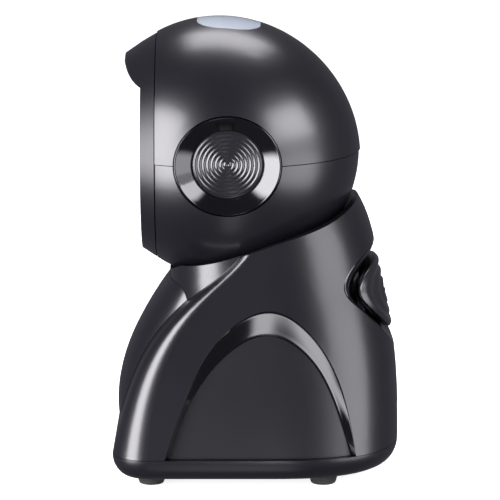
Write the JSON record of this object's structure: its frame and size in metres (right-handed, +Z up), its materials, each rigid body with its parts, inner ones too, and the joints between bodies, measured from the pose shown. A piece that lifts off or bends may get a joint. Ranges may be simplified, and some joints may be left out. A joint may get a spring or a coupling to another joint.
{
  "type": "presentation barcode scanner",
  "caption": "Hands-free barcode scanner: a ball head with a front scan window tilts in the collar of a weighted base with a rippled rear push button.",
  "frame": {"origin": "under the middle of the object, on the plane the rubber feet stand on", "axes": "+Z up, the scan window faces -Y, the tilt axis is parallel to X"},
  "size_m": [0.082, 0.0947, 0.1511],
  "materials": {
    "shell_black": "satin black moulded plastic",
    "trim_gloss": "polished black",
    "panel_black": "fine textured black plastic",
    "ripple_black": "satin black with moulded ridges",
    "window_glass": "dark red tinted hard-coated window",
    "lens_clear": "frosted translucent plastic",
    "rubber_black": "matt rubber",
    "steel": "zinc-plated steel",
    "spring_steel": "bright spring steel",
    "brass": "turned brass",
    "mirror": "front-silvered mirror",
    "chassis_grey": "glass-filled moulded plastic",
    "board_green": "solder-masked circuit board",
    "chip_black": "moulded component bodies",
    "led_white": "white light-emitting diodes",
    "motor_metal": "turned aluminium",
    "socket_cream": "black nylon",
    "bush_white": "acetal"
  },
  "bodies": {
    "base": {"base_shell": "shell_black", "front_cover": "shell_black", "arch_trim_left": "trim_gloss", "arch_trim_right": "trim_gloss", "arch_panel_left": "panel_black", "arch_panel_right": "panel_black", "dish_ring": "trim_gloss", "button_spring": "spring_steel", "button_guide": "chassis_grey", "tact_switch": "chip_black", "switch_board": "board_green", "bottom_plate": "shell_black", "rubber_feet": "rubber_black", "base_screws": "steel", "weight_plate": "steel", "interface_board": "board_green", "interface_chips": "chip_black", "cable_socket": "socket_cream", "beeper": "chip_black", "yoke_frame": "steel", "pivot_pins": "steel", "pivot_clips": "spring_steel", "friction_washers": "spring_steel", "yoke_screws": "steel"},
    "head": {"head_upper_shell": "shell_black", "head_lower_shell": "shell_black", "front_bezel": "shell_black", "scan_window": "window_glass", "window_gasket": "rubber_black", "trim_ring_left": "trim_gloss", "trim_ring_right": "trim_gloss", "ripple_disc_left": "ripple_black", "ripple_disc_right": "ripple_black", "status_lens": "lens_clear", "status_board": "board_green", "status_lights": "led_white", "pivot_brackets": "chassis_grey", "pivot_bushes": "bush_white", "optics_tray": "chassis_grey", "motor_board": "board_green", "motor_stator": "brass", "pattern_mirrors": "mirror", "mirror_frame": "chassis_grey", "collecting_mirror": "mirror", "laser_holder": "motor_metal", "laser_module": "brass", "detector_board": "board_green", "photodiode": "chip_black", "decoder_board": "board_green", "decoder_chips": "chip_black", "head_screws": "steel"},
    "mirror_spinner": {"motor_rotor": "motor_metal", "mirror_wheel": "mirror"},
    "button": {"rear_button": "ripple_black"}
  },
  "joints": [
    {"name": "head_tilt", "type": "hinge", "parent": "base", "child": "head", "pos_m": [0, -0.0093, 0.1073], "axis": [1, 0, 0], "range_deg": [-15, 10]},
    {"name": "mirror_spin", "type": "hinge", "parent": "head", "child": "mirror_spinner", "pos_m": [0, -0.0113, 0.124], "axis": [0, 0, 1], "continuous": true},
    {"name": "button_press", "type": "slide", "parent": "base", "child": "button", "axis": [0, -0.9848, -0.1736], "range_m": [0, 0.0012], "stiffness_N_per_m": 600, "springref_m": -0.0015, "deforming": ["button_spring"]}
  ]
}
